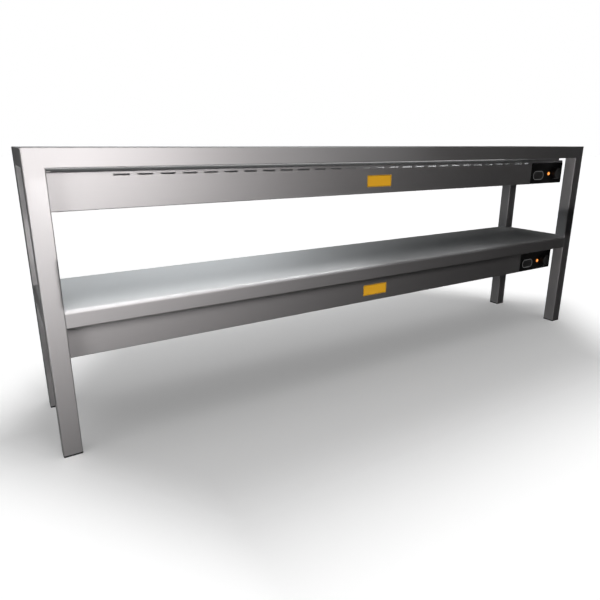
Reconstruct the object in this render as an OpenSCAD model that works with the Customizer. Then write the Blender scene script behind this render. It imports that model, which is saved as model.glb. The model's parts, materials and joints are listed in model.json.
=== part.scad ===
// Two-tier heated gantry shelf: four box-section legs carry two folded trays, and a slotted lamp
// casing hangs under each tray with its control box at the right-hand end.
// X runs along the shelves, the front faces -Y, Z is up, and the origin is on the floor at the centre.

/* [Overall] */
// Length over the legs
overall_l = 1800; // [1500:10:2400]
// Depth over the legs
overall_d = 300; // [270:5:400]
// Height of the top tray's face
overall_h = 660; // [620:5:800]
// Height of the middle tray's face
middle_z = 334; // [300:1:360]

/* [Legs and feet] */
// Width of the square leg tube
leg_w = 40; // [30:1:50]
// Wall of the leg tube
leg_wall = 1.5; // [1.2:0.1:2.5]
// Outer corner radius of the leg tube
leg_r = 3; // [2.6:0.1:5]
// Thickness of the foot that shows under the leg
foot_t = 4; // [3:0.5:8]
// Length of the foot's plug inside the leg
foot_plug_l = 24; // [15:1:40]
// Wall of the foot's hollow plug
foot_wall = 2.5; // [2:0.1:4]
// Width of the grip fins round the plug
foot_fin_w = 1.2; // [0.8:0.1:2]

/* [Trays] */
// Thickness of the tray sheet
sheet_t = 1.5; // [1:0.1:2]
// Height of the tray's skirt
skirt_h = 40; // [30:1:50]
// Outer radius of the bend along the middle tray's edge
edge_r = 8.5; // [6:0.5:12]
// Outer radius of the bend along the top tray's edge
top_edge_r = 2.5; // [2.2:0.1:5]
// Outer radius of the bend along the skirt's lower edge
hem_r = 2.5; // [2.2:0.1:4]
// Width of the return fold along the skirt's lower edge
hem_w = 12; // [8:1:15]
// Width of the stiffener's web
stiffener_w = 90; // [60:1:130]
// Depth of the stiffener below the sheet
stiffener_h = 20; // [12:1:30]
// Width of each of the stiffener's flanges
stiffener_flange = 16; // [10:1:25]
// Thickness of the stiffener
stiffener_t = 1.5; // [1:0.1:2]

/* [Lamp casings] */
// Distance from the end of the trays to the end of the casing
casing_inset = 13; // [6:0.5:30]
// Depth of the casing, front to back
casing_d = 167; // [140:1:190]
// Height of the casing
casing_h = 81; // [76:1:100]
// Sheet thickness of the casing, its caps and its covers
casing_t = 1.2; // [0.8:0.1:1.5]
// Inside radius of the casing's folds
casing_bend = 1.2; // [1:0.1:2]
// Width of the lips along the casing's lower edges
casing_lip = 12; // [10:0.5:16]
// Air gap between the tray's skirt and the casing's top
casing_gap = 10; // [6:0.5:30]
// Depth of the folded rim round the end caps and the bulkhead
cap_rim = 14; // [8:1:20]
// Distance from the casing's end to the hanger's web
hanger_inset = 16; // [10:0.5:30]
// Thickness of the hangers
hanger_t = 2; // [1.5:0.1:3]
// Width of the hanger's flanges
hanger_flange = 25; // [15:1:40]
// How far the hanger stops short of the casing's front and back
hanger_margin = 4; // [2:0.5:15]

/* [Vent slots] */
// Length of one slot
slot_l = 36; // [20:1:42]
// Height of one slot
slot_h = 4; // [3:0.5:7]
// Spacing of the slots
slot_pitch = 51.5; // [46:0.5:70]
// Distance from the casing's left end to the first slot
slot_inset = 162; // [60:1:250]
// Distance from the casing's top to the middle of the slots
slot_drop = 8; // [7:0.5:12]

/* [Reflectors and guards] */
// Thickness of the reflector
reflector_t = 0.8; // [0.5:0.1:1.2]
// Width of the reflector's flat crown
crown_w = 44; // [36:1:56]
// Air gap between the casing's top and the reflector's crown
crown_drop = 20; // [16:1:24]
// Sideways run of the reflector's upper slope
shoulder_run = 22; // [16:1:26]
// Fall of the reflector's upper slope
shoulder_fall = 16; // [10:1:20]
// Width of the guard's side bars
guard_bar_w = 9; // [7:0.5:9.5]
// Thickness of the guard's side bars
guard_bar_t = 4; // [3.4:0.1:6]
// Diameter of the guard's cross rods
rod_d = 2.5; // [2:0.1:3]
// Spacing of the guard's cross rods
rod_pitch = 30; // [20:1:60]

/* [Lamps] */
// Gap between the ends of neighbouring lamps
lamp_gap = 36; // [30:1:60]
// Outer diameter of the quartz tube
tube_d = 11; // [10:0.5:13]
// Wall of the quartz tube
tube_wall = 1; // [0.8:0.1:1.5]
// Distance from the reflector's crown to the lamp's axis
lamp_drop = 22; // [18:1:26]
// Length of the ceramic collar at each end of a lamp
collar_l = 5; // [3:0.5:8]
// Length of the ceramic pin that enters the lampholder
pin_l = 10; // [6:0.5:11]
// Diameter of the ceramic pin
pin_d = 8; // [6:0.5:9]
// Length of the ceramic plug inside the quartz tube
plug_l = 6; // [4:0.5:12]
// Width of a lampholder, across the lamp
holder_w = 22; // [18:1:28]
// Length of a lampholder, along the lamp
holder_l = 16; // [14:0.5:18]
// Height of the lampholder's body below the lamp's axis
holder_low = 10; // [8:0.5:12]

/* [Control boxes] */
// Length of the control compartment at the casing's right-hand end
control_l = 184; // [160:1:260]
// Distance from the casing's right-hand end to the panel
panel_inset = 1; // [0:0.5:4]
// Distance from the panel's left end to the bulkhead
panel_gap = 6; // [2:0.5:20]
// Height of the control panel
panel_h = 71.5; // [66:0.5:72]
// Distance from the casing's lower edge to the panel
panel_rise = 2; // [2:0.5:3]
// Thickness of the control panel
panel_t = 2; // [1.5:0.1:4]
// Corner radius of the control panel
panel_r = 3; // [2:0.5:6]
// Border of the casing's front wall that the panel covers
window_margin = 10; // [6:0.5:11]
// Width and height of the energy regulator
regulator_w = 36; // [30:1:40]
// Depth of the energy regulator
regulator_d = 34; // [25:1:45]
// Diameter of the regulator's bush
bush_d = 10; // [9:0.5:14]
// Length of the terminal block
terminal_l = 42; // [30:1:60]
// Width of the terminal block
terminal_w = 17; // [14:0.5:22]
// Height of the terminal block
terminal_h = 15; // [12:0.5:20]
// Poles of the terminal block
terminal_n = 3; // [2:1:4]

/* [Knobs and indicators] */
// Distance from the casing's right-hand end to the knob's axis
knob_inset = 47; // [40:1:54]
// Height of the knob's and the indicator's axes above the casing's lower edge
control_z = 35; // [34:0.5:38]
// Diameter of the knob
knob_d = 42; // [36:0.5:46]
// Height of the knob
knob_h = 17; // [15:0.5:25]
// Draft of the knob's side, from its base to its face
knob_draft = 1; // [0.5:0.1:2]
// Flutes round the knob
flute_n = 24; // [12:1:30]
// Diameter of the regulator's spindle
spindle_d = 6; // [5:0.5:7]
// Distance from the casing's right-hand end to the indicator's axis
neon_inset = 82; // [80:1:100]
// Diameter of the indicator's bezel
bezel_d = 16; // [14.5:0.5:18]
// Diameter of the indicator's barrel behind the bezel
barrel_d = 13; // [12:0.5:13.5]
// Diameter of the indicator's lens
lens_d = 11; // [8:0.5:11]
// How far the lens stands out from the panel
lens_out = 5; // [4:0.5:8]

/* [Cable glands] */
// Distance from the casing's right-hand end to the gland's axis
gland_inset = 87; // [60:1:120]
// Height of the gland's axis above the casing's lower edge
gland_z = 40; // [34:0.5:44]
// Diameter of the gland's thread
gland_d = 20; // [16:1:25]
// Bore of the gland
gland_bore = 10; // [6:0.5:12]
// Height of the gland's flange and its domed cap
gland_h = 22; // [16:1:30]
// Length of thread inside the casing
gland_thread_l = 9; // [8:0.5:14]
// Thickness of the gland's locknut
locknut_t = 5; // [4:0.5:6]

/* [Fits] */
// Gap round pieces that drop into place
fit_gap = 0.3; // [0.2:0.05:0.5]
// Gap round the turning spindle
running_gap = 0.05; // [0.02:0.01:0.1]
// Gap between the knob's back and the panel
knob_gap = 0.8; // [0.5:0.1:2]

/* [Hidden] */
$fn = 48;
bend_steps = 6;
over = 1;

casing_l = overall_l - 2 * casing_inset;
casing_x = casing_l / 2;
casing_y = casing_d / 2;
leg_x = (overall_l - leg_w) / 2;
leg_y = (overall_d - leg_w) / 2;
hanger_x = casing_x - hanger_inset;
hanger_h = casing_gap + skirt_h - sheet_t;
stiffener_l = 2 * (hanger_x - hanger_flange - hanger_t);

// Lamp bay, between the left end cap's rim and the bulkhead's rim
bulkhead_x = casing_x - control_l;
bay_left = -casing_x + cap_rim + fit_gap;
bay_right = bulkhead_x - cap_rim - fit_gap;
bay_l = bay_right - bay_left;
bay_mid = (bay_right + bay_left) / 2;
lamp_n = 4;
lamp_pitch = bay_l / lamp_n;
lamp_l = lamp_pitch - lamp_gap;
tube_l = lamp_l - 2 * (collar_l + pin_l);
crown_z = casing_h - crown_drop;
lamp_z = crown_z - lamp_drop;
wing_z = casing_t + guard_bar_t + reflector_t / 2;
wing_y = casing_y - casing_t - casing_bend - fit_gap;
slot_room = casing_l - slot_inset - control_l;
slot_n = floor((slot_room + slot_pitch - slot_l) / slot_pitch);
rod_inset = 15;
rod_seat = 3;
rod_n = floor((bay_l - 2 * rod_inset) / rod_pitch) + 1;

// Control compartment
panel_l = control_l - panel_inset - panel_gap;
panel_x = casing_x - panel_inset - panel_l / 2;
panel_z = panel_rise + panel_h / 2;
knob_x = casing_x - knob_inset;
neon_x = casing_x - neon_inset;
gland_x = casing_x - gland_inset;
spindle_in = 12;
knob_bore_l = knob_h - 4;
base_cover_z = casing_t;

STEEL = [0.72, 0.73, 0.74];
BRIGHT = [0.88, 0.88, 0.87];
ZINC = [0.62, 0.64, 0.66];
BLACK = [0.06, 0.06, 0.065];
CERAMIC = [0.93, 0.91, 0.86];
QUARTZ = [0.85, 0.88, 0.9, 0.5];
AMBER = [1, 0.55, 0.12];

TIERS = [["upper", overall_h], ["lower", middle_z]];
SIDES = [["left", -1], ["right", 1]];
ROWS = [["front", -1], ["rear", 1]];
LAMPS = [for (i = [1:lamp_n]) i];
TIER_NODES = [
  "stiffener", "hangers", "heater_casing", "end_cap_left", "end_cap_right", "bulkhead", "base_cover",
  "reflector", "lamp_guard", "lamp_bases", "lampholders", "control_panel", "energy_regulator",
  "regulator_spindle", "control_knob", "neon_bezel", "neon_lens", "terminal_block", "cable_gland",
  "gland_locknut"
];

// Height of a tier's casing above the floor
function casing_floor(tier) = tier[1] - skirt_h - casing_gap - casing_h;

// Middle of a lamp along the bay
function lamp_x(i) = bay_left + (i - 0.5) * lamp_pitch;

function unit(v) = v / norm(v);
function left_of(v) = [-v[1], v[0]];
function turned(v, a) = [v[0] * cos(a) - v[1] * sin(a), v[0] * sin(a) + v[1] * cos(a)];
function turn_angle(u, w) = atan2(u[0] * w[1] - u[1] * w[0], u * w);

// Points and normals along one rounded fold, from the line before it to the line after it
function fold(a, b, c, r) =
  let (u = unit(b - a), w = unit(c - b), turn = turn_angle(u, w), side = sign(turn))
  let (centre = b - u * r * tan(abs(turn) / 2) + left_of(u) * r * side)
  [for (i = [0:bend_steps]) let (n = turned(left_of(u), turn * i / bend_steps)) [centre - n * r * side, n]];

// Middle line of a folded sheet, as points and normals
function fold_line(p, r) = let (last = len(p) - 1) concat(
  [[p[0], left_of(unit(p[1] - p[0]))]],
  [for (i = [1:last - 1]) each fold(p[i - 1], p[i], p[i + 1], r)],
  [[p[last], left_of(unit(p[last] - p[last - 1]))]]
);

// Section of a sheet of thickness t folded along the points p, with inside radius r
module folded(p, t, r) {
  line = fold_line(p, r + t / 2);
  near = [for (s = line) s[0] + s[1] * t / 2];
  far = [for (i = [len(line) - 1:-1:0]) line[i][0] - line[i][1] * t / 2];
  polygon(concat(near, far));
}

module rounded_rect(w, h, r) {
  square([w - 2 * r, h], center = true);
  square([w, h - 2 * r], center = true);
  for (x = [-1, 1], y = [-1, 1])
    translate([x * (w / 2 - r), y * (h / 2 - r)])
      circle(r);
}

// A section drawn in Y and Z, run along X
module along_x(l) {
  rotate([90, 0, 90])
    linear_extrude(l, center = true)
      children();
}

// A section drawn in X and Z, run along Y
module along_y(l) {
  rotate([90, 0, 0])
    linear_extrude(l, center = true)
      children();
}

// Puts a shape's Z axis on a control's axis, pointing out of the panel, from the panel's back
module on_panel(x) {
  translate([x, -casing_y, control_z])
    rotate([90, 0, 0])
      children();
}

// Puts a shape's Z axis on the gland's axis, pointing out of the casing's rear wall
module on_rear_wall() {
  translate([gland_x, casing_y, gland_z])
    rotate([-90, 0, 0])
      children();
}

// Section of a tray, hanging down from z = 0, with its upper and lower corners rounded
module tray_section(w, h, top_r, low_r) {
  translate([-w / 2, low_r - h])
    square([w, h - low_r - top_r]);
  translate([top_r - w / 2, low_r - h])
    square([w - 2 * top_r, h - low_r]);
  translate([low_r - w / 2, -h])
    square([w - 2 * low_r, h - top_r]);
  for (x = [-1, 1]) {
    translate([x * (w / 2 - top_r), -top_r])
      circle(top_r);
    translate([x * (w / 2 - low_r), low_r - h])
      circle(low_r);
  }
}

// Closed block with rolled edges, inset from the tray's outside by one sheet thickness or none
module tray_block(bend_r, inset) {
  h = skirt_h - 2 * inset;
  translate([0, 0, -inset])
    intersection() {
      along_x(overall_l)
        tray_section(overall_d - 2 * inset, h, bend_r - inset, hem_r - inset);
      along_y(overall_d)
        tray_section(overall_l - 2 * inset, h, bend_r - inset, hem_r - inset);
    }
}

// Square corner round the front right leg, carried out past the tray's front and end
module leg_corner() {
  translate([-leg_w / 2, -leg_w])
    square([1.5 * leg_w, 1.5 * leg_w]);
}

// Rounded outline of the front right leg, carried out past the tray's front and end
module leg_outline() {
  flat = leg_w / 2 - leg_r;
  rounded_rect(leg_w, leg_w, leg_r);
  translate([-flat, -leg_w])
    square([flat + leg_w, leg_w]);
  translate([0, -leg_w])
    square([leg_w, leg_w + flat]);
}

// Folded tray with a skirt and return folds; its corners are notched to an outline, up to notch_top
module tray(bend_r, notch_top) {
  color(STEEL)
    difference() {
      tray_block(bend_r, 0);
      tray_block(bend_r, sheet_t);
      translate([0, 0, -skirt_h])
        cube([overall_l - 2 * hem_w, overall_d - 2 * hem_w, 4 * sheet_t], center = true);
      for (left = [0, 1], rear = [0, 1])
        mirror([left, 0, 0])
          mirror([0, rear, 0])
            translate([leg_x, -leg_y, notch_top - 2 * skirt_h])
              linear_extrude(2 * skirt_h)
                children();
    }
}

// Top tray: it closes up to the legs and its rolled edge runs on over their ends
module top_shelf() {
  tray(top_edge_r, -top_edge_r)
    leg_outline();
}

// Middle tray: its corners are cut away square round the legs
module middle_shelf() {
  tray(edge_r, over)
    leg_corner();
}

module leg() {
  color(STEEL)
    translate([0, 0, foot_t])
      linear_extrude(overall_h - top_edge_r - foot_t)
        difference() {
          rounded_rect(leg_w, leg_w, leg_r);
          rounded_rect(leg_w - 2 * leg_wall, leg_w - 2 * leg_wall, leg_r - leg_wall);
        }
}

// Foot insert: a flat pad under the leg and a hollow finned plug inside it
module foot() {
  bore_w = leg_w - 2 * leg_wall - 2 * fit_gap;
  plug_w = bore_w - 2 * foot_fin_w;
  fin_n = 4;
  fin_gap = foot_plug_l / fin_n;
  color(BLACK)
    difference() {
      union() {
        linear_extrude(foot_t)
          rounded_rect(leg_w, leg_w, leg_r);
        translate([0, 0, foot_t])
          linear_extrude(foot_plug_l)
            square(plug_w, center = true);
        for (i = [1:fin_n])
          translate([0, 0, foot_t + (i - 0.5) * fin_gap])
            linear_extrude(foot_fin_w)
              rounded_rect(bore_w, bore_w, leg_r);
      }
      translate([0, 0, foot_t])
        linear_extrude(foot_plug_l + over)
          square(plug_w - 2 * foot_wall, center = true);
    }
}

// Top-hat channel welded under a tray, drawn from the tray's face
module stiffener() {
  web_y = stiffener_w / 2 - stiffener_t / 2;
  flange_y = stiffener_w / 2 + stiffener_flange;
  top = -sheet_t - stiffener_t / 2;
  bottom = top - stiffener_h + stiffener_t;
  color(STEEL)
    along_x(stiffener_l)
      folded([[-flange_y, top], [-web_y, top], [-web_y, bottom], [web_y, bottom], [web_y, top], [flange_y, top]],
        stiffener_t, stiffener_t);
}

// Folded brackets that carry the casing's two ends under the tray
module hangers() {
  inner = hanger_x - hanger_flange;
  mid = hanger_t / 2;
  color(STEEL)
    for (side = [0, 1])
      mirror([side, 0, 0])
        translate([0, 0, casing_h])
          along_y(casing_d - 2 * hanger_margin)
            folded([[inner, mid], [hanger_x - mid, mid], [hanger_x - mid, hanger_h - mid], [inner, hanger_h - mid]],
              hanger_t, hanger_t);
}

// One row of round-ended vent slots, cut through the front and rear walls
module vent_slots() {
  first = -casing_x + slot_inset + slot_l / 2;
  along_y(casing_d + 2 * over)
    for (i = [0:slot_n - 1])
      translate([first + i * slot_pitch, casing_h - slot_drop]) {
        square([slot_l - slot_h, slot_h], center = true);
        for (end = [-1, 1])
          translate([end * (slot_l - slot_h) / 2, 0])
            circle(d = slot_h);
      }
}

// Opening in the casing's front wall behind the control panel
module control_window() {
  window = [panel_l - 2 * window_margin, panel_h - 2 * window_margin];
  translate([panel_x, -casing_y, panel_z])
    cube([window[0], casing_lip, window[1]], center = true);
}

// Lamp casing: an inverted channel with lips along its open underside
module heater_casing() {
  wall = casing_y - casing_t / 2;
  lip = casing_y - casing_lip;
  low = casing_t / 2;
  high = casing_h - casing_t / 2;
  color(STEEL)
    difference() {
      along_x(casing_l)
        folded([[-lip, low], [-wall, low], [-wall, high], [wall, high], [wall, low], [lip, low]],
          casing_t, casing_bend);
      vent_slots();
      control_window();
      on_rear_wall()
        cylinder(d = gland_d + 2 * fit_gap, h = 2 * casing_lip, center = true);
    }
}

// Shallow folded pan that closes the casing's section, from x = 0 towards +X
module pan() {
  w = casing_d - 2 * casing_t - 2 * fit_gap;
  h = casing_h - 2 * casing_t - fit_gap;
  r = casing_bend + fit_gap;
  translate([0, 0, casing_t + h / 2])
    rotate([90, 0, 90])
      difference() {
        linear_extrude(cap_rim)
          rounded_rect(w, h, r);
        translate([0, 0, casing_t])
          linear_extrude(cap_rim)
            square([w - 2 * casing_t, h - 2 * casing_t], center = true);
      }
}

module end_cap(side) {
  color(STEEL)
    if (side < 0)
      translate([-casing_x, 0, 0])
        pan();
    else
      translate([casing_x, 0, 0])
        mirror([1, 0, 0])
          pan();
}

// Wall between the lamps and the controls, with a grommet hole for the lamp wires
module bulkhead() {
  wire_d = 14;
  wire_z = casing_h - crown_drop / 2;
  color(ZINC)
    difference() {
      translate([bulkhead_x, 0, 0])
        mirror([1, 0, 0])
          pan();
      translate([bulkhead_x, 0, wire_z])
        rotate([0, 90, 0])
          cylinder(d = wire_d, h = cap_rim, center = true);
    }
}

// Removable plate under the controls, resting on the casing's lips
module base_cover() {
  x0 = bulkhead_x + fit_gap;
  x1 = casing_x - cap_rim - fit_gap;
  w = 2 * (casing_y - casing_t - casing_bend - fit_gap);
  vent_n = 6;
  vent = [5, 60];
  vent_pitch = (x1 - x0) / (vent_n + 2);
  color(STEEL)
    translate([(x0 + x1) / 2, 0, base_cover_z])
      linear_extrude(casing_t)
        difference() {
          square([x1 - x0, w], center = true);
          for (i = [0:vent_n - 1])
            translate([(i - (vent_n - 1) / 2) * vent_pitch, -vent[1] / 2])
              square(vent, center = true);
        }
}

// Folded trough over the lamps, resting on the guard's side bars
module reflector() {
  wing_in = wing_y - guard_bar_w;
  crown_y = crown_w / 2;
  top = crown_z - reflector_t / 2;
  half = [
    [wing_y, wing_z], [wing_in, wing_z],
    [crown_y + shoulder_run, top - shoulder_fall], [crown_y, top]
  ];
  other = [for (i = [len(half) - 1:-1:0]) [-half[i][0], half[i][1]]];
  color(BRIGHT)
    translate([bay_mid, 0, 0])
      along_x(bay_l)
        folded(concat(half, other), reflector_t, reflector_t);
}

// Ladder of cross rods between two side bars, resting on the casing's lips
module lamp_guard() {
  bar_y = wing_y - guard_bar_w / 2;
  rod_l = 2 * (wing_y - guard_bar_w + rod_seat);
  color(ZINC)
    translate([0, 0, casing_t + guard_bar_t / 2]) {
      for (y = [-bar_y, bar_y])
        translate([bay_mid, y, 0])
          cube([bay_l, guard_bar_w, guard_bar_t], center = true);
      for (i = [0:rod_n - 1])
        translate([bay_mid + (i - (rod_n - 1) / 2) * rod_pitch, 0, 0])
          rotate([90, 0, 0])
            cylinder(d = rod_d, h = rod_l, center = true);
    }
}

// Quartz tube of one lamp
module lamp(i) {
  color(QUARTZ)
    translate([lamp_x(i), 0, lamp_z])
      rotate([0, 90, 0])
        difference() {
          cylinder(d = tube_d, h = tube_l, center = true);
          cylinder(d = tube_d - 2 * tube_wall, h = tube_l + over, center = true);
        }
}

// Runs its children at both ends of every lamp, with Z pointing out along the lamp
module at_lamp_ends() {
  for (i = LAMPS, end = [-1, 1])
    translate([lamp_x(i), 0, lamp_z])
      rotate([0, 90 * end, 0])
        translate([0, 0, lamp_l / 2])
          rotate([0, 0, 90 * (1 - end)])
            children();
}

// Ceramic ends of the lamps: a plug in the tube, a collar, and a pin for the lampholder
module lamp_bases() {
  plug_d = tube_d - 2 * tube_wall - 2 * fit_gap;
  color(CERAMIC)
    at_lamp_ends() {
      translate([0, 0, -pin_l])
        cylinder(d = pin_d, h = pin_l);
      translate([0, 0, -pin_l - collar_l])
        cylinder(d = tube_d, h = collar_l);
      translate([0, 0, -pin_l - collar_l - plug_l])
        cylinder(d = plug_d, h = plug_l);
    }
}

// Ceramic blocks that hang from the reflector's crown and hold the lamps' pins
module lampholders() {
  top = lamp_drop - reflector_t;
  socket_l = pin_l + fit_gap;
  color(CERAMIC)
    at_lamp_ends()
      difference() {
        translate([-top, -holder_w / 2, -pin_l])
          cube([top + holder_low, holder_w, holder_l]);
        translate([0, 0, -pin_l - over])
          cylinder(d = pin_d + 2 * fit_gap, h = socket_l + over);
      }
}

// Flat black panel over the window in the casing's front wall
module control_panel() {
  color(BLACK)
    difference() {
      translate([panel_x, -casing_y, panel_z])
        rotate([90, 0, 0])
          linear_extrude(panel_t)
            rounded_rect(panel_l, panel_h, panel_r);
      on_panel(knob_x)
        cylinder(d = bush_d + 2 * fit_gap, h = 3 * panel_t, center = true);
      on_panel(neon_x)
        cylinder(d = barrel_d + 2 * fit_gap, h = 3 * panel_t, center = true);
    }
}

// Energy regulator: a block behind the panel, its bush in the panel and blade terminals at its back
module energy_regulator() {
  blade = [6.3, 0.8, 8];
  blade_pitch = 11;
  color(ZINC)
    on_panel(knob_x)
      difference() {
        union() {
          translate([0, 0, -regulator_d])
            linear_extrude(regulator_d)
              rounded_rect(regulator_w, regulator_w, panel_r);
          cylinder(d = bush_d, h = panel_t);
          for (x = [-1, 1], y = [-1, 1])
            translate([x * blade_pitch, y * blade_pitch, -regulator_d - blade[2] / 2])
              cube(blade, center = true);
        }
        translate([0, 0, -spindle_in])
          cylinder(d = spindle_d + 2 * running_gap, h = spindle_in + panel_t + over);
      }
}

// Round shaft with a flat along the length that the knob grips
module d_shaft(d, z0, z1) {
  flat = 0.3 * d;
  translate([0, 0, z0])
    intersection() {
      cylinder(d = d, h = z1 - z0);
      translate([-d, -d, 0])
        cube([2 * d, d + flat, z1 - z0]);
    }
}

// Spindle that joins the knob to the regulator
module regulator_spindle() {
  flat_z = panel_t + knob_gap;
  color(ZINC)
    on_panel(knob_x) {
      translate([0, 0, fit_gap - spindle_in])
        cylinder(d = spindle_d, h = spindle_in - fit_gap + flat_z);
      d_shaft(spindle_d, flat_z, flat_z + knob_bore_l - fit_gap);
    }
}

// Round fluted knob with a dished face and a pointer groove
module control_knob() {
  r = knob_d / 2;
  top_r = r - knob_draft;
  edge = 1.5;
  dish_r = 0.72 * r;
  dish_depth = 1;
  flute_d = 3.2;
  flute_cut = 0.6;
  groove_w = 1.8;
  bore_d = spindle_d + 2 * running_gap;
  color(BLACK)
    on_panel(knob_x)
      translate([0, 0, panel_t + knob_gap])
        difference() {
          rotate_extrude()
            polygon([
              [0, 0], [r, 0], [r, edge], [top_r, knob_h - edge], [top_r - edge / 3, knob_h - edge / 3],
              [top_r - edge, knob_h], [dish_r, knob_h], [dish_r - dish_depth, knob_h - dish_depth],
              [0, knob_h - dish_depth]
            ]);
          for (i = [0:flute_n - 1])
            rotate([0, 0, (i + 0.5) * 360 / flute_n])
              translate([r + flute_d / 2 - flute_cut - knob_draft / 2, 0, 2 * edge])
                cylinder(d = flute_d, h = knob_h);
          translate([-groove_w / 2, dish_r / 2, knob_h - 2 * dish_depth])
            cube([groove_w, r, knob_h]);
          translate([0, 0, -over])
            d_shaft(bore_d, 0, knob_bore_l + over);
        }
}

// Indicator bezel: a flange on the panel and a barrel behind it
module neon_bezel() {
  flange_t = 1.8;
  flange_edge = 0.8;
  barrel_l = 14;
  color(BLACK)
    on_panel(neon_x)
      translate([0, 0, panel_t])
        difference() {
          union() {
            rotate_extrude()
              polygon([
                [0, 0], [bezel_d / 2, 0], [bezel_d / 2, flange_t - flange_edge],
                [bezel_d / 2 - flange_edge, flange_t], [0, flange_t]
              ]);
            translate([0, 0, -barrel_l])
              cylinder(d = barrel_d, h = barrel_l);
          }
          translate([0, 0, -barrel_l - over])
            cylinder(d = lens_d + 2 * fit_gap, h = barrel_l + flange_t + 2 * over);
        }
}

// Indicator lens: a plug in the bezel with a domed end
module neon_lens() {
  plug_l = 12;
  dome_h = 2.5;
  dome_r = (pow(lens_d / 2, 2) + pow(dome_h, 2)) / (2 * dome_h);
  color(AMBER)
    on_panel(neon_x)
      translate([0, 0, panel_t])
        intersection() {
          translate([0, 0, -plug_l])
            cylinder(d = lens_d, h = plug_l + lens_out + over);
          union() {
            translate([0, 0, lens_out - dome_r])
              sphere(dome_r);
            translate([0, 0, -plug_l - over])
              cylinder(d = lens_d + over, h = plug_l + over + lens_out - dome_h);
          }
        }
}

// Terminal block on the base cover: a row of towers with wire and screw wells
module terminal_block() {
  base_h = 0.45 * terminal_h;
  pole = terminal_l / terminal_n;
  tower = [0.75 * pole, 0.65 * terminal_w];
  well_d = 0.4 * pole;
  x = (bulkhead_x + neon_x - bezel_d) / 2;
  color(CERAMIC)
    translate([x, casing_y / 4, base_cover_z + casing_t]) {
      translate([-terminal_l / 2, -terminal_w / 2, 0])
        cube([terminal_l, terminal_w, base_h]);
      for (i = [0:terminal_n - 1])
        translate([(i - (terminal_n - 1) / 2) * pole, 0, 0])
          difference() {
            translate([-tower[0] / 2, -tower[1] / 2, base_h / 2])
              cube([tower[0], tower[1], terminal_h - base_h / 2]);
            translate([0, 0, base_h + over])
              cylinder(d = well_d, h = terminal_h);
          }
    }
}

// Cable gland in the rear wall: thread, hexagon flange and domed cap nut
module cable_gland() {
  hex_d = 1.4 * gland_d;
  hex_h = 0.3 * gland_h;
  cap_h = 0.7 * gland_h;
  cap_r = 0.6 * gland_d;
  color(BLACK)
    on_rear_wall()
      difference() {
        union() {
          translate([0, 0, -casing_t - gland_thread_l])
            cylinder(d = gland_d, h = casing_t + gland_thread_l + over);
          cylinder(d = hex_d, h = hex_h, $fn = 6);
          translate([0, 0, hex_h / 2])
            rotate_extrude()
              polygon([[0, 0], [cap_r, 0], [cap_r, cap_h / 2], [gland_bore / 2 + over, cap_h + hex_h / 2],
                [0, cap_h + hex_h / 2]]);
        }
        translate([0, 0, -casing_t - gland_thread_l - over])
          cylinder(d = gland_bore, h = gland_thread_l + casing_t + 2 * gland_h);
      }
}

// Hexagon locknut on the gland's thread, against the inside of the rear wall
module gland_locknut() {
  hex_d = 1.45 * gland_d;
  color(BLACK)
    on_rear_wall()
      translate([0, 0, -casing_t - locknut_t])
        difference() {
          cylinder(d = hex_d, h = locknut_t, $fn = 6);
          translate([0, 0, -over])
            cylinder(d = gland_d + fit_gap, h = locknut_t + 2 * over);
        }
}

translate([0, 0, overall_h]) top_shelf();
translate([0, 0, middle_z]) middle_shelf();
for (row = ROWS, side = SIDES)
  translate([side[1] * leg_x, row[1] * leg_y, 0]) {
    leg();
    foot();
  }
for (tier = TIERS)
  translate([0, 0, tier[1]])
    stiffener();
for (tier = TIERS)
  translate([0, 0, casing_floor(tier)]) {
    hangers();
    heater_casing();
    end_cap(-1);
    end_cap(1);
    bulkhead();
    base_cover();
    reflector();
    lamp_guard();
    lamp_bases();
    lampholders();
    control_panel();
    energy_regulator();
    regulator_spindle();
    control_knob();
    neon_bezel();
    neon_lens();
    terminal_block();
    cable_gland();
    gland_locknut();
    for (i = LAMPS)
      lamp(i);
  }
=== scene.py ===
# Looks of the two-tier heated gantry shelf: finishes, small fittings, studio and camera
import json
import math

import bmesh
import bpy
from mathutils import Matrix, Vector


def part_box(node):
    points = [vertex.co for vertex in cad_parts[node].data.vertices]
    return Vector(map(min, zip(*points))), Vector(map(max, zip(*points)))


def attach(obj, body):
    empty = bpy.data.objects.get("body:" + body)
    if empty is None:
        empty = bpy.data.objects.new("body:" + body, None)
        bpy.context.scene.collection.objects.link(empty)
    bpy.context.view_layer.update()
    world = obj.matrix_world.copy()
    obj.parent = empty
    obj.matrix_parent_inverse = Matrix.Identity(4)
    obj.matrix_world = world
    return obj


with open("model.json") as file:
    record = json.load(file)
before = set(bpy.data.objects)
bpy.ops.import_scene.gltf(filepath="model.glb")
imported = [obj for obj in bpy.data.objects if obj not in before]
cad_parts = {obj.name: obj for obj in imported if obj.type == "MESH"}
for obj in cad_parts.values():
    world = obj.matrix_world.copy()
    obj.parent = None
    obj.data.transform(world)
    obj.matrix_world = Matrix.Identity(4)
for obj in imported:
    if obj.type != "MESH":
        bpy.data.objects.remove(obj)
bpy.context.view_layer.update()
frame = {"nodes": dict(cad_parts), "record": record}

TIERS = ("upper", "lower")
MM = 0.001
WHITE = (1.0, 1.0, 1.0)

# Camera: place in metres, angles in degrees, then focal length and the view's centre in pixels of the
# square picture
CAMERA_AT = (-0.9571, -1.2552, 0.6658)
CAMERA_YAW = 31.243
CAMERA_PITCH = 16.011
CAMERA_ROLL = 0.108
FOCAL_PX = 508.8
CENTRE_PX = (302.65, 290.26)
PICTURE_PX = 600
SENSOR_MM = 36.0
CLIP_START = 0.01

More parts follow.
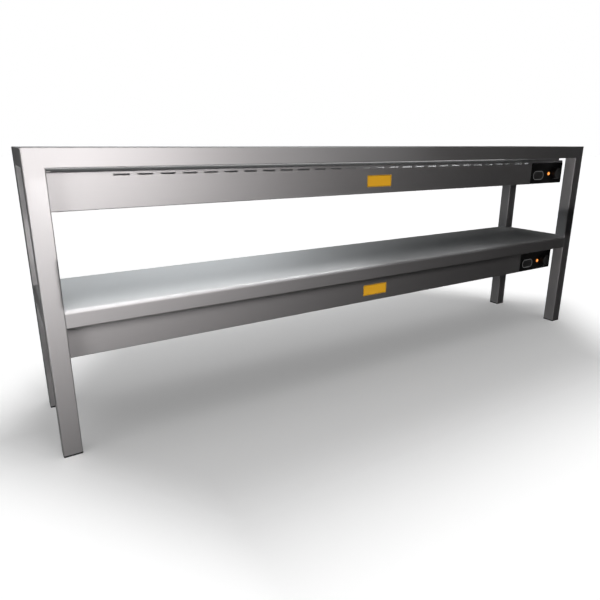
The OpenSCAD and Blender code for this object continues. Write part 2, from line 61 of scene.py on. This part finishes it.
# Metals: axis of the grain, dark and light colour, roughness and its spread, grain width and length
STEEL = ((0.6, 0.605, 0.61), (0.66, 0.665, 0.67), 0.64, 0.05, 0.7 * MM, 0.16)
METALS = {
    "stainless": ("X", *STEEL),
    "stainless_upright": ("Z", *STEEL),
    "zinc_plate": ("X", (0.55, 0.57, 0.58), (0.66, 0.67, 0.66), 0.38, 0.08, 4 * MM, 0.03),
    "guard_wire": ("Y", (0.66, 0.67, 0.68), (0.74, 0.75, 0.76), 0.26, 0.06, 0.4 * MM, 0.05),
    "bright_aluminium": ("X", (0.84,) * 3, (0.9,) * 3, 0.18, 0.05, 0.7 * MM, 0.16),
    "tungsten": ("X", (0.2, 0.2, 0.21), (0.32, 0.32, 0.33), 0.35, 0.1, 0.2 * MM, 0.004),
    "screw_steel": ("X", (0.5, 0.505, 0.51), (0.62, 0.625, 0.63), 0.35, 0.08, 0.6 * MM, 0.01),
}
# Mouldings and coatings: dark and light colour, roughness and its spread, size and depth of the texture,
# specular level
MOULDINGS = {
    "ceramic": ((0.82, 0.79, 0.71), (0.88, 0.86, 0.8), 0.55, 0.1, 0.5 * MM, 0.04 * MM, 0.5),
    "black_panel": ((0.002,) * 3, (0.004,) * 3, 0.4, 0.08, 0.5 * MM, 0.03 * MM, 0.1),
    "regulator_case": ((0.46, 0.43, 0.36), (0.56, 0.54, 0.48), 0.5, 0.1, 0.8 * MM, 0.03 * MM, 0.5),
    "knob_plastic": ((0.006,) * 3, (0.01,) * 3, 0.42, 0.08, 0.4 * MM, 0.02 * MM, 0.3),
    "black_plastic": ((0.01,) * 3, (0.016,) * 3, 0.4, 0.08, 0.4 * MM, 0.02 * MM, 0.5),
    "foot_plastic": ((0.012,) * 3, (0.02,) * 3, 0.6, 0.1, 0.6 * MM, 0.04 * MM, 0.5),
    "terminal_plastic": ((0.8, 0.78, 0.72), (0.86, 0.85, 0.8), 0.45, 0.08, 0.5 * MM, 0.02 * MM, 0.5),
    "badge_rim": ((0.16,) * 3, (0.2,) * 3, 0.4, 0.08, 0.4 * MM, 0.02 * MM, 0.5),
    "badge_field": ((0.006,) * 3, (0.01,) * 3, 0.35, 0.06, 0.5 * MM, 0.02 * MM, 0.5),
}
# Patterns in the finishes. A noise is its detail, roughness and distortion, a bump its depth and strength.
GRAIN_NOISE = (5.0, 0.6)
GRAIN_BUMP = (0.02 * MM, 0.35)
END_FACING = 0.7
SMUDGE_SIZE = (0.22, 0.16, 0.16)
SMUDGE_NOISE = (3.0, 0.55, 0.6)
SMUDGE_SHARE = 0.35
SKIN_NOISE = (3.0, 0.6)
SKIN_STRENGTH = 0.5
CLOUD_NOISE = (2.0, 0.5)
CLOUD_TO_SKIN = 40
# Clear quartz: grain size, roughness, colours and refraction
QUARTZ_GRAIN = (0.08, 1.2 * MM, 1.2 * MM)
QUARTZ_NOISE = (2.0, 0.5)
QUARTZ_BUMP = (0.02 * MM, 0.2)
QUARTZ_ROUGH = (0.0, 0.05)
QUARTZ_COLOURS = ((0.93, 0.94, 0.95), WHITE)
QUARTZ_IOR = 1.46
# Lit lens: glow and body colour in the middle and at the edge, moulded rings
LENS_GLOW = ((1.0, 0.5, 0.17), (1.0, 0.3, 0.04))
LENS_BODY = ((1.0, 0.45, 0.1), (0.7, 0.16, 0.01))
LENS_ROUGH = 0.25
LENS_RINGS = 30.0
LENS_BUMP = (0.05 * MM, 0.3)

# Bare label plate on each casing's front and bare badge plate on each panel: width, height, corner radius,
# and steps that say how far each outline draws in and how far it stands out
LABEL_SIZE = (0.089, 0.033, 0.002)
LABEL_STEPS = ((0.0, 0.0), (0.0, 0.2 * MM), (0.1 * MM, 0.3 * MM))
LABEL_MID_X = 0.0135
LABEL_RISE = 0.0353
BADGE_SIZE = (0.058, 0.031, 0.0145)
BADGE_STEPS = ((0.0, 0.0), (0.0, 0.8 * MM), (0.3 * MM, 1.1 * MM), (1.7 * MM, 1.1 * MM), (2.0 * MM, 0.7 * MM))
BADGE_FINISHES = (0, 0, 0, 0, 1)
BADGE_INSET = 0.0105
BADGE_RISE = 0.030
CORNER_STEPS = 6
# Label print: field and its shading, line, the line's distance from the edge, width and corner radius
LABEL_FIELD = (0.72, 0.36, 0.006)
LABEL_SHADING = (0.93, 1.07)
LABEL_LINE = (0.01, 0.01, 0.01)
LABEL_BORDER = (1.2 * MM, 1.0 * MM, 1.5 * MM)
LABEL_ROUGH = (0.35, 0.5)
LABEL_SPECKLE = 0.6 * MM
LABEL_CLOUD = 0.03
LABEL_CLOUD_NOISE = (3.0, 0.55)
LABEL_BUMP = (0.02 * MM, 0.3)

# Coiled filament in each lamp
COIL_RADIUS = 1.5 * MM
COIL_PITCH = 2.6 * MM
COIL_STEPS = 8
COIL_TAIL = 0.03
WIRE_RADIUS = 0.3 * MM
# Pan-head screws through the lips under each casing. The profile gives shares of radius and height, and the
# cross recess its arm and half width as shares of the radius, then how far it narrows and where it ends
SCREW_RADIUS = 3.4 * MM
SCREW_HEIGHT = 0.5 * MM
SCREW_PROFILE = ((1.0, 0.0), (1.0, 0.4), (0.93, 0.72), (0.8, 0.92), (0.65, 1.0))
CROSS_ARM = 0.55
CROSS_HALF_WIDTH = 0.2
CROSS_NARROWING = 0.85
CROSS_END = 0.1
SCREW_EDGE = 6 * MM
SCREW_COUNT = 7
SCREW_END = 0.03
TINY = 1e-6

# Near light by the camera whose reflection fades along the front: place, radius, power, colour
KEY_AT = (-0.7, -1.1, 0.73)
KEY_RADIUS = 0.16
KEY_POWER = 28.4
KEY_COLOUR = (1.0, 0.94, 0.935)
# Card that shades the middle shelf's top from the near light: ends, place in depth, lower and upper edge
CARD_X = (-0.86, 0.9)
CARD_Y = -0.18
CARD_Z = (0.352, 0.45)
# Soft panels that only reflections show: place, the point each faces, length and height, spread in degrees,
# power, colour
COOL = (0.945, 0.98, 1.0)
WARM = (1.0, 0.96, 0.95)
SOFT_PANELS = {
    "rear_panel": ((-0.15, 0.9, 1.0), (-0.15, 0.0, 0.4), (0.8, 0.5), 100, 1.37, COOL),
    "rear_left_panel": ((-0.65, 0.9, 1.0), (-0.65, 0.0, 0.4), (0.8, 0.5), 100, 0.95, COOL),
    "edge_strip": ((-0.47, -0.16, 0.6), (-0.47, -0.15, 0.33), (0.84, 0.03), 50, 0.26, WHITE),
    "edge_end_strip": ((0.22, -0.16, 0.6), (0.22, -0.15, 0.33), (0.55, 0.03), 50, 0.045, WHITE),
    "rail_panel": ((-0.15, -0.5, 1.1), (-0.15, -0.15, 0.64), (0.5, 0.06), 30, 0.05, WHITE),
    "side_panel": ((-1.25, -0.7, 0.4), (-0.88, 0.1, 0.3), (0.3, 0.5), 180, 2.1, WARM),
}
# Far lights that only reflections show, for the ceiling and the pale floor round the set:
# azimuth in degrees from the front towards the controls, elevation, angular width, strength
MIRRORED_LIGHTS = {
    "ceiling": (0, 90, 60, 0.6),
    "floor_rear_right": (140, -30, 45, 0.45),
    "floor_rear": (180, -30, 45, 0.12),
    "floor_rear_left": (-140, -30, 45, 0.05),
    "floor_left": (-60, -20, 45, 0.06),
}
# Far lights for the floor and the painted surfaces, and the plain level of the sky on them
PAINT_LIGHTS = {
    "floor_light": (0, 90, 75, 0.86),
    "paint_light": (15, 4, 30, 1.5),
}
SKY_DIFFUSE = 0.35
# Strips of weak light in the gap over each casing and, left and right, in the space over its reflector:
# middle, length, height, distance from the casing's wall, height over or under its top, power
GAP_STRIP = (0.0, 1.7, 0.008, 0.012, 0.012, 0.06)
SLOT_STRIP = (-0.4, 0.9, 0.008, 0.012, -0.014, 0.014)
SLOT_END_STRIP = (0.44, 0.46, 0.008, 0.012, -0.014, 0.2)
STRIP_SPREAD = 180
# Floor: half its width, paint, glow near the object and far from it, and where the glow starts and ends; the
# weak glow near the object is painted shade round it
FLOOR_HALF = 30.0
FLOOR_COLOUR = (0.8, 0.8, 0.8)
FLOOR_GLOW_WITH_PAINTED_SHADE = (0.06, 0.52)
PAINTED_SHADE_FADE = (0.35, 0.85)
PAINTED_SHADE_CORE_X = 0.65
PAINTED_SHADE_END_FADE = 1.38
# Dark drape round the set: radius, steps round it and up it, glow
DRAPE_RADIUS = 8.0
DRAPE_STEPS = (64, 48)
DRAPE_GLOW = 0.004


def add(tree, kind, inputs=None, **settings):
    """Adds a node, sets its options, and sets or links its inputs by name or number."""
    made = tree.nodes.new(kind)
    for name, value in settings.items():
        setattr(made, name, value)
    for name, value in (inputs or {}).items():
        if isinstance(value, bpy.types.NodeSocket):
            tree.links.new(value, made.inputs[name])
        else:
            made.inputs[name].default_value = value
    return made


def maths(tree, operation, *values):
    """Result of a sum on numbers or sockets."""
    return add(tree, "ShaderNodeMath", dict(enumerate(values)), operation=operation).outputs[0]


def vector_maths(tree, operation, *values):
    """Result of a sum on vectors or sockets, which for LENGTH is a number."""
    made = add(tree, "ShaderNodeVectorMath", dict(enumerate(values)), operation=operation)
    return made.outputs["Value" if operation == "LENGTH" else "Vector"]


def new_material(name):
    """An empty node material, its tree and its output node."""
    made = bpy.data.materials.new(name)
    made.use_nodes = True
    made.node_tree.nodes.clear()
    return made, made.node_tree, made.node_tree.nodes.new("ShaderNodeOutputMaterial")


def ramp(tree, factor, low, high):
    """Turns a 0 to 1 value into one between low and high, which may be numbers or colours."""
    if isinstance(low, (int, float)):
        made = add(tree, "ShaderNodeMapRange", {"Value": factor, "To Min": low, "To Max": high})
        return made.outputs["Result"]
    ends = {"Factor": factor, 6: (*low, 1.0), 7: (*high, 1.0)}
    return add(tree, "ShaderNodeMix", ends, data_type="RGBA").outputs[2]


def noise(tree, size, detail, roughness, distortion=0.0):
    """Value of a noise pattern with a size in metres along each axis of the object."""
    place = add(tree, "ShaderNodeTexCoord").outputs["Object"]
    scaled = vector_maths(tree, "MULTIPLY", place, tuple(1 / s for s in size))
    wanted = {"Vector": scaled, "Scale": 1.0, "Detail": detail}
    wanted.update({"Roughness": roughness, "Distortion": distortion})
    return add(tree, "ShaderNodeTexNoise", wanted).outputs["Fac"]


def finish_surface(tree, output, surface, height, bump):
    """Ends a material in one Principled shader with a bump of a depth in metres and a strength."""
    shader = add(tree, "ShaderNodeBsdfPrincipled", surface)
    raised = add(tree, "ShaderNodeBump", {"Height": height, "Distance": bump[0], "Strength": bump[1]})
    tree.links.new(raised.outputs["Normal"], shader.inputs["Normal"])
    tree.links.new(shader.outputs[0], output.inputs["Surface"])


def grain(tree, along, across, length):
    """Fine lines along an axis, turned to run along another on faces that look along that axis."""
    size = [across] * 3
    size["XYZ".index(along)] = length
    turned = [across, length, across] if along != "Y" else [length, across, across]
    lines = noise(tree, size, *GRAIN_NOISE)
    end_lines = noise(tree, turned, *GRAIN_NOISE)
    normal = add(tree, "ShaderNodeNewGeometry").outputs["Normal"]
    facing = add(tree, "ShaderNodeSeparateXYZ", {0: normal}).outputs[along]
    on_end = maths(tree, "GREATER_THAN", maths(tree, "ABSOLUTE", facing), END_FACING)
    return add(tree, "ShaderNodeMix", {"Factor": on_end, 2: lines, 3: end_lines}).outputs[0]


def brushed(name):
    """Metal with a brushed grain along one axis and faint handling marks."""
    along, dark, light, rough, spread, across, length = METALS[name]
    made, tree, output = new_material(name)
    lines = grain(tree, along, across, length)
    smudge = noise(tree, SMUDGE_SIZE, *SMUDGE_NOISE)
    both = maths(tree, "MULTIPLY", lines, 1 - SMUDGE_SHARE)
    both = maths(tree, "MULTIPLY_ADD", smudge, SMUDGE_SHARE, both)
    surface = {
        "Base Color": ramp(tree, lines, dark, light),
        "Roughness": ramp(tree, both, rough - spread, rough + spread),
        "Metallic": 1.0,
    }
    finish_surface(tree, output, surface, lines, GRAIN_BUMP)
    return made


def moulded(name):
    """Plastic, paint or ceramic with a fine moulded or sprayed texture."""
    dark, light, rough, spread, size, depth, specular = MOULDINGS[name]
    made, tree, output = new_material(name)
    skin = noise(tree, (size,) * 3, *SKIN_NOISE)
    cloud = noise(tree, (CLOUD_TO_SKIN * size,) * 3, *CLOUD_NOISE)
    surface = {
        "Base Color": ramp(tree, cloud, dark, light),
        "Roughness": ramp(tree, skin, rough - spread, rough + spread),
        "Specular IOR Level": specular,
    }
    finish_surface(tree, output, surface, skin, (depth, SKIN_STRENGTH))
    return made


def quartz_glass():
    """Clear drawn tube with faint lines along its length."""
    made, tree, output = new_material("quartz")
    lines = noise(tree, QUARTZ_GRAIN, *QUARTZ_NOISE)
    surface = {
        "Base Color": ramp(tree, lines, *QUARTZ_COLOURS),
        "Roughness": ramp(tree, lines, *QUARTZ_ROUGH),
        "Transmission Weight": 1.0,
        "IOR": QUARTZ_IOR,
    }
    finish_surface(tree, output, surface, lines, QUARTZ_BUMP)
    return made


def lit_lens():
    """Lit amber lens, paler in the middle, with fine rings moulded in its face."""
    made, tree, output = new_material("amber_lens")
    place = add(tree, "ShaderNodeTexCoord").outputs["Generated"]
    flat = vector_maths(tree, "ADD", place, (-0.5, 0.0, -0.5))
    flat = vector_maths(tree, "MULTIPLY", flat, (2.0, 0.0, 2.0))
    radius = vector_maths(tree, "LENGTH", flat)
    rings = maths(tree, "SINE", maths(tree, "MULTIPLY", radius, LENS_RINGS))
    surface = {
        "Base Color": ramp(tree, radius, *LENS_BODY),
        "Emission Color": ramp(tree, radius, *LENS_GLOW),
        "Emission Strength": 1.0,
        "Roughness": LENS_ROUGH,
    }
    finish_surface(tree, output, surface, rings, LENS_BUMP)
    return made


def label_print():
    """Plain yellow print that faces the front, with one thin line round it."""
    width, height = LABEL_SIZE[:2]
    inset, line_width, corner = LABEL_BORDER
    made, tree, output = new_material("label_yellow")
    place = add(tree, "ShaderNodeTexCoord").outputs["Generated"]
    centred = vector_maths(tree, "ADD", place, (-0.5, -0.5, -0.5))
    metres = vector_maths(tree, "MULTIPLY", centred, (width, 0.0, height))
    apart = vector_maths(tree, "ABSOLUTE", metres)
    inner = (width / 2 - inset - corner, 0.0, height / 2 - inset - corner)
    past = vector_maths(tree, "SUBTRACT", apart, inner)
    past = vector_maths(tree, "MAXIMUM", past, (0.0, 0.0, 0.0))
    far = vector_maths(tree, "LENGTH", past)
    on_line = maths(tree, "COMPARE", far, corner - line_width / 2, line_width / 2)
    speckle = noise(tree, (LABEL_SPECKLE,) * 3, *SKIN_NOISE)
    cloud = noise(tree, (LABEL_CLOUD,) * 3, *LABEL_CLOUD_NOISE)
    shades = [tuple(share * c for c in LABEL_FIELD) for share in LABEL_SHADING]
    layers = {"Factor": on_line, 6: ramp(tree, cloud, *shades), 7: (*LABEL_LINE, 1.0)}
    surface = {
        "Base Color": add(tree, "ShaderNodeMix", layers, data_type="RGBA").outputs[2],
        "Roughness": ramp(tree, speckle, *LABEL_ROUGH),
    }
    finish_surface(tree, output, surface, speckle, LABEL_BUMP)
    return made


def all_finishes():
    """Every finish by name, among them one for each of the record's material slots."""
    finishes = {"quartz": quartz_glass(), "amber_lens": lit_lens(), "label_yellow": label_print()}
    finishes.update({name: brushed(name) for name in METALS})
    finishes.update({name: moulded(name) for name in MOULDINGS})
    return finishes


def dress_nodes(finishes):
    """Gives every solid of the frame its slot's finish, with an upright grain on the legs."""
    for part in frame["record"]["subparts"]:
        is_leg = part["node"].startswith("leg_")
        materials = frame["nodes"][part["node"]].data.materials
        materials.clear()
        materials.append(finishes["stainless_upright" if is_leg else part["material_slot"]])


def add_object(name, data):
    """Adds an object to the scene."""
    made = bpy.data.objects.new(name, data)
    bpy.context.scene.collection.objects.link(made)
    return made


def rounded_outline(width, height, corner):
    """Points round a rectangle with round corners, across and up."""
    points = []
    for turn, (right, up) in enumerate(((1, 1), (-1, 1), (-1, -1), (1, -1))):
        for step in range(CORNER_STEPS + 1):
            angle = math.radians(90 * (turn + step / CORNER_STEPS))
            across = right * (width / 2 - corner) + corner * math.cos(angle)
            points.append((across, up * (height / 2 - corner) + corner * math.sin(angle)))
    return points


def add_loft(shape, loops, finishes=None):
    """Adds a closed solid through loops of points, with a finish for each band and for the end."""
    finishes = finishes or [0] * len(loops)
    rings = [[shape.verts.new(point) for point in loop] for loop in loops]
    for low, high, finish in zip(rings, rings[1:], finishes):
        for i in range(len(low)):
            after = (i + 1) % len(low)
            face = shape.faces.new((low[i], low[after], high[after], high[i]))
            face.material_index = finish
    shape.faces.new(rings[0][::-1]).material_index = finishes[0]
    shape.faces.new(rings[-1]).material_index = finishes[-1]


def finish_piece(name, shape, materials):
    """Turns a mesh under construction into a piece that rides on the gantry."""
    bmesh.ops.recalc_face_normals(shape, faces=shape.faces)
    mesh = bpy.data.meshes.new(name)
    shape.to_mesh(mesh)
    shape.free()
    for material in materials:
        mesh.materials.append(material)
    piece = add_object(name, mesh)
    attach(piece, "gantry")


def front_plate(name, middle, size, steps, materials, finishes=None):
    """Thin plate on a front face, built through its steps."""
    width, height, corner = size
    shape = bmesh.new()
    loops = []
    for inset, out in steps:
        outline = rounded_outline(width - 2 * inset, height - 2 * inset, corner - inset)
        loops.append([(middle[0] + x, middle[1] - out, middle[2] + z) for x, z in outline])
    add_loft(shape, loops, finishes)
    finish_piece(name, shape, materials)


def bare_plates(finishes):
    """A bare yellow label and a bare badge with a raised rim on each tier."""
    label_finish = [finishes["label_yellow"]]
    badge_finish = [finishes["badge_rim"], finishes["badge_field"]]
    for tier in TIERS:
        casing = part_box(f"{tier}_heater_casing")[0]
        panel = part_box(f"{tier}_control_panel")[0]
        label_at = (LABEL_MID_X, casing[1], casing[2] + LABEL_RISE)
        badge_at = (panel[0] + BADGE_INSET + BADGE_SIZE[0] / 2, panel[1], casing[2] + BADGE_RISE)
        front_plate(f"{tier}_label_plate", label_at, LABEL_SIZE, LABEL_STEPS, label_finish)
        front_plate(f"{tier}_badge_plate", badge_at, BADGE_SIZE, BADGE_STEPS, badge_finish, BADGE_FINISHES)


def coil_points(low, high):
    """Points of a coil with straight tails along the middle of a lamp's box."""
    y, z = (low[1] + high[1]) / 2, (low[2] + high[2]) / 2
    start, end = low[0] + COIL_TAIL, high[0] - COIL_TAIL
    count = int(COIL_STEPS * (end - start) / COIL_PITCH)
    points = [(low[0], y, z)]
    for step in range(count + 1):
        angle = 2 * math.pi * step / COIL_STEPS
        x = start + step * COIL_PITCH / COIL_STEPS
        points.append((x, y + COIL_RADIUS * math.cos(angle), z + COIL_RADIUS * math.sin(angle)))
    points.append((high[0], y, z))
    return points


def filaments(finishes):
    """A coiled wire in every lamp."""
    for node in [name for name in frame["nodes"] if "_lamp_" in name and name[-1].isdigit()]:
        points = coil_points(*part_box(node))
        curve = bpy.data.curves.new(f"{node}_filament", "CURVE")
        curve.dimensions = "3D"
        curve.bevel_depth = WIRE_RADIUS
        curve.bevel_resolution = 0
        line = curve.splines.new("POLY")
        line.points.add(len(points) - 1)
        for spot, point in zip(line.points, points):
            spot.co = (*point, 1.0)
        curve.materials.append(finishes["tungsten"])
        piece = add_object(f"{node}_filament", curve)
        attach(piece, "gantry")


def add_screw(shape, at):
    """Adds a pan head with a cross recess, facing down."""
    arm, half_width = CROSS_ARM * SCREW_RADIUS, CROSS_HALF_WIDTH * SCREW_RADIUS
    bite = math.atan2(half_width, arm)
    quarter = (0, bite, math.pi / 4, math.pi / 2 - bite)
    angles = [math.pi / 2 * turn + angle for turn in range(4) for angle in quarter]

    def loop(reaches, height):
        spots = [(reach * math.cos(a), reach * math.sin(a)) for reach, a in zip(reaches, angles)]
        return [(at[0] + x, at[1] + y, at[2] - height * SCREW_HEIGHT) for x, y in spots]

    cross = []
    for angle in angles:
        c, s = abs(math.cos(angle)), abs(math.sin(angle))
        cross.append(min(arm / max(c, s), half_width / max(min(c, s), TINY)))
    loops = [loop([share * SCREW_RADIUS] * len(angles), height) for share, height in SCREW_PROFILE]
    loops.append(loop(cross, SCREW_PROFILE[-1][1]))
    loops.append(loop([CROSS_NARROWING * reach for reach in cross], CROSS_END))
    add_loft(shape, loops)


def lip_screws(finishes):
    """A row of screws along both lips under each casing, for the guard and the base cover."""
    for tier in TIERS:
        low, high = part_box(f"{tier}_heater_casing")
        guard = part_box(f"{tier}_lamp_guard")
        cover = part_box(f"{tier}_base_cover")
        spots = [cover[0][0] + SCREW_END, cover[1][0] - SCREW_END]
        span = guard[1][0] - guard[0][0] - 2 * SCREW_END
        spots += [guard[0][0] + SCREW_END + span * i / (SCREW_COUNT - 1) for i in range(SCREW_COUNT)]
        shape = bmesh.new()
        for y in (low[1] + SCREW_EDGE, high[1] - SCREW_EDGE):
            for x in spots:
                add_screw(shape, (x, y, low[2]))
        finish_piece(f"{tier}_screws", shape, [finishes["screw_steel"]])


def hide_from(thing, *rays):
    """Keeps an object or a light from the named kinds of ray."""
    for ray in rays:
        setattr(thing, f"visible_{ray}", False)


def direction(azimuth, elevation):
    """Unit vector towards a place in the studio."""
    a, e = math.radians(azimuth), math.radians(elevation)
    return Vector((math.sin(a) * math.cos(e), -math.cos(a) * math.cos(e), math.sin(e)))


def far_light(name, azimuth, elevation, width, strength, hidden_from):
    """Far soft light, kept from diffuse or from glossy rays."""
    lamp = bpy.data.lights.new(name, "SUN")
    lamp.energy = strength
    lamp.angle = math.radians(width)
    lamp.cycles.use_multiple_importance_sampling = False
    made = add_object(name, lamp)
    made.rotation_euler = direction(azimuth, elevation).to_track_quat("Z", "Y").to_euler()
    hide_from(made, hidden_from)


def key_light():
    """Small near light that only reflections show."""
    lamp = bpy.data.lights.new("key_light", "POINT")
    lamp.energy = KEY_POWER
    lamp.shadow_soft_size = KEY_RADIUS
    lamp.color = KEY_COLOUR
    made = add_object("key_light", lamp)
    made.location = KEY_AT
    hide_from(made, "camera", "diffuse")


def soft_panel(name, at, facing, size, spread, power, colour):
    """Flat soft light that only reflections show."""
    lamp = bpy.data.lights.new(name, "AREA")
    lamp.shape = "RECTANGLE"
    lamp.size, lamp.size_y = size
    lamp.spread = math.radians(spread)
    lamp.energy = power
    lamp.color = colour
    made = add_object(name, lamp)
    made.location = at
    made.rotation_euler = (Vector(at) - Vector(facing)).to_track_quat("Z", "Y").to_euler()
    hide_from(made, "camera", "diffuse")


def casing_strips():
    """Weak strips that light the gap over each casing from the rear and the slots from the front."""
    for tier in TIERS:
        low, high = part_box(f"{tier}_heater_casing")
        strips = {
            "gap": (GAP_STRIP, high[1], low[1]),
            "slot": (SLOT_STRIP, low[1], high[1]),
            "slot_end": (SLOT_END_STRIP, low[1], high[1]),
        }
        for name, (strip, wall, far_wall) in strips.items():
            middle, length, height, inset, rise, power = strip
            at = (middle, wall + math.copysign(inset, far_wall - wall), high[2] + rise)
            facing = (middle, far_wall, high[2] + rise)
            soft_panel(f"{tier}_{name}_strip", at, facing, (length, height), STRIP_SPREAD, power, WHITE)


def studio_sky():
    """White wherever it is seen, directly or in metal and glass, and a plain level of soft light."""
    world = bpy.data.worlds.new("studio_sky")
    bpy.context.scene.world = world
    world.use_nodes = True
    tree = world.node_tree
    tree.nodes.clear()
    ray = add(tree, "ShaderNodeLightPath").outputs
    seen = maths(tree, "MAXIMUM", ray["Is Camera Ray"], ray["Is Glossy Ray"])
    seen = maths(tree, "MAXIMUM", seen, ray["Is Transmission Ray"])
    level = ramp(tree, seen, SKY_DIFFUSE, 1.0)
    sky = add(tree, "ShaderNodeBackground", {"Color": (*WHITE, 1.0), "Strength": level})
    output = tree.nodes.new("ShaderNodeOutputWorld")
    tree.links.new(sky.outputs[0], output.inputs["Surface"])


def flat_sheet(name, corners):
    """One four-cornered face with an empty material, and that material's tree and output node."""
    mesh = bpy.data.meshes.new(name)
    mesh.from_pydata(corners, [], [(0, 1, 2, 3)])
    made, tree, output = new_material(name)
    mesh.materials.append(made)
    return add_object(name, mesh), tree, output


def studio_floor():
    """Pale floor that fades into the white background, with a glow that is weaker near the object as painted
    shade round it, and keeps the soft shadow.
    """
    half = FLOOR_HALF
    corners = [(-half, -half, 0.0), (half, -half, 0.0), (half, half, 0.0), (-half, half, 0.0)]
    floor, tree, output = flat_sheet("studio_floor", corners)
    place = add(tree, "ShaderNodeTexCoord").outputs["Object"]
    apart = vector_maths(tree, "ABSOLUTE", place)
    parts = add(tree, "ShaderNodeSeparateXYZ", {0: apart}).outputs
    # Distance from the object's core: the camera-only glow rises with it, so the floor near the object
    # carries painted shade
    past = maths(tree, "SUBTRACT", parts["X"], PAINTED_SHADE_CORE_X)
    past = maths(tree, "MAXIMUM", past, 0.0)
    away = maths(tree, "MULTIPLY_ADD", past, PAINTED_SHADE_END_FADE, parts["Y"])
    painted_shade_fade = {"Value": away, "From Min": PAINTED_SHADE_FADE[0], "From Max": PAINTED_SHADE_FADE[1]}
    painted_shade_fade.update({"To Min": FLOOR_GLOW_WITH_PAINTED_SHADE[0], "To Max": FLOOR_GLOW_WITH_PAINTED_SHADE[1]})
    level = add(tree, "ShaderNodeMapRange", painted_shade_fade, interpolation_type="SMOOTHSTEP").outputs["Result"]
    ray = add(tree, "ShaderNodeLightPath").outputs
    glow_with_painted_shade = maths(tree, "MULTIPLY", level, ray["Is Camera Ray"])
    paint = add(tree, "ShaderNodeBsdfDiffuse", {"Color": (*FLOOR_COLOUR, 1.0)})
    light = add(tree, "ShaderNodeEmission", {"Color": (*WHITE, 1.0), "Strength": glow_with_painted_shade})
    both = add(tree, "ShaderNodeAddShader", {0: paint.outputs[0], 1: light.outputs[0]})
    tree.links.new(both.outputs[0], output.inputs["Surface"])
    hide_from(floor, "glossy", "shadow")


def shade_card():
    """Unseen card that keeps the near light's glare off the middle shelf's top."""
    (left, right), (low, high) = CARD_X, CARD_Z
    corners = [(left, CARD_Y, low), (right, CARD_Y, low), (right, CARD_Y, high), (left, CARD_Y, high)]
    card, tree, output = flat_sheet("shade_card", corners)
    paint = add(tree, "ShaderNodeBsdfDiffuse", {"Color": (0.0, 0.0, 0.0, 1.0)})
    tree.links.new(paint.outputs[0], output.inputs["Surface"])
    hide_from(card, "camera", "diffuse", "glossy", "transmission", "volume_scatter")


def studio_drape():
    """Dark drape round the set that only reflections show."""
    mesh = bpy.data.meshes.new("studio_drape")
    shape = bmesh.new()
    around, upwards = DRAPE_STEPS
    bmesh.ops.create_uvsphere(shape, u_segments=around, v_segments=upwards, radius=DRAPE_RADIUS)
    shape.to_mesh(mesh)
    shape.free()
    drape = add_object("studio_drape", mesh)
    made, tree, output = new_material("studio_drape")
    light = add(tree, "ShaderNodeEmission", {"Color": (*WHITE, 1.0), "Strength": DRAPE_GLOW})
    tree.links.new(light.outputs[0], output.inputs["Surface"])
    made.cycles.emission_sampling = "NONE"
    mesh.materials.append(made)
    hide_from(drape, "camera", "diffuse", "transmission", "volume_scatter", "shadow")


def set_camera():
    """Camera at the picture's viewpoint."""
    lens = bpy.data.cameras.new("camera")
    lens.sensor_width = SENSOR_MM
    lens.lens = SENSOR_MM * FOCAL_PX / PICTURE_PX
    lens.shift_x = 0.5 - CENTRE_PX[0] / PICTURE_PX
    lens.shift_y = CENTRE_PX[1] / PICTURE_PX - 0.5
    lens.clip_start = CLIP_START
    camera = add_object("camera", lens)
    turn = Matrix.Rotation(math.radians(-CAMERA_YAW), 4, "Z")
    tip = Matrix.Rotation(math.radians(90 - CAMERA_PITCH), 4, "X")
    roll = Matrix.Rotation(math.radians(CAMERA_ROLL), 4, "Z")
    camera.matrix_world = Matrix.Translation(CAMERA_AT) @ turn @ tip @ roll
    bpy.context.scene.camera = camera


set_camera()
studio_sky()
studio_floor()
studio_drape()
key_light()
shade_card()
casing_strips()
for name, panel in SOFT_PANELS.items():
    soft_panel(name, *panel)
for name, light in MIRRORED_LIGHTS.items():
    far_light(name, *light, hidden_from="diffuse")
for name, light in PAINT_LIGHTS.items():
    far_light(name, *light, hidden_from="glossy")
bpy.context.scene.view_settings.view_transform = "Standard"

finishes = all_finishes()
dress_nodes(finishes)
bare_plates(finishes)
filaments(finishes)
lip_screws(finishes)
